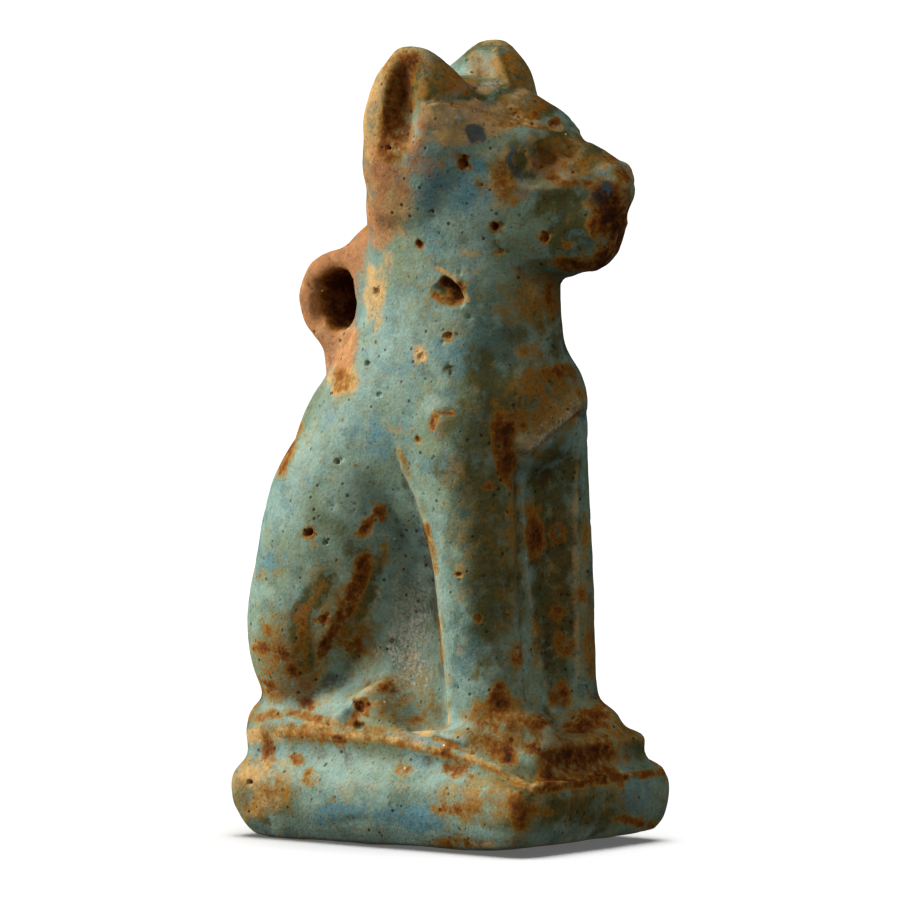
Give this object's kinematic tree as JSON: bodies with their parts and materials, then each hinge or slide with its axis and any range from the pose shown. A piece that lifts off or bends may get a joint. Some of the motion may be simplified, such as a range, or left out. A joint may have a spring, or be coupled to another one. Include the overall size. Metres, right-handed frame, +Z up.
{
  "type": "cat amulet",
  "caption": "Seated cat of glazed composition on a stepped plinth, with a pierced loop behind the neck for a cord.",
  "frame": {"origin": "middle of the plinth's flat underside", "axes": "+Z up, the cat looks along -Y, its right side and its tail are at -X"},
  "size_m": [0.0146, 0.0231, 0.0457],
  "materials": {
    "glaze": "worn blue-green glaze over a sandy core, satin, with tan edges and rust-brown stains"
  },
  "bodies": {
    "root": {"cat_amulet": "glaze"}
  },
  "joints": []
}
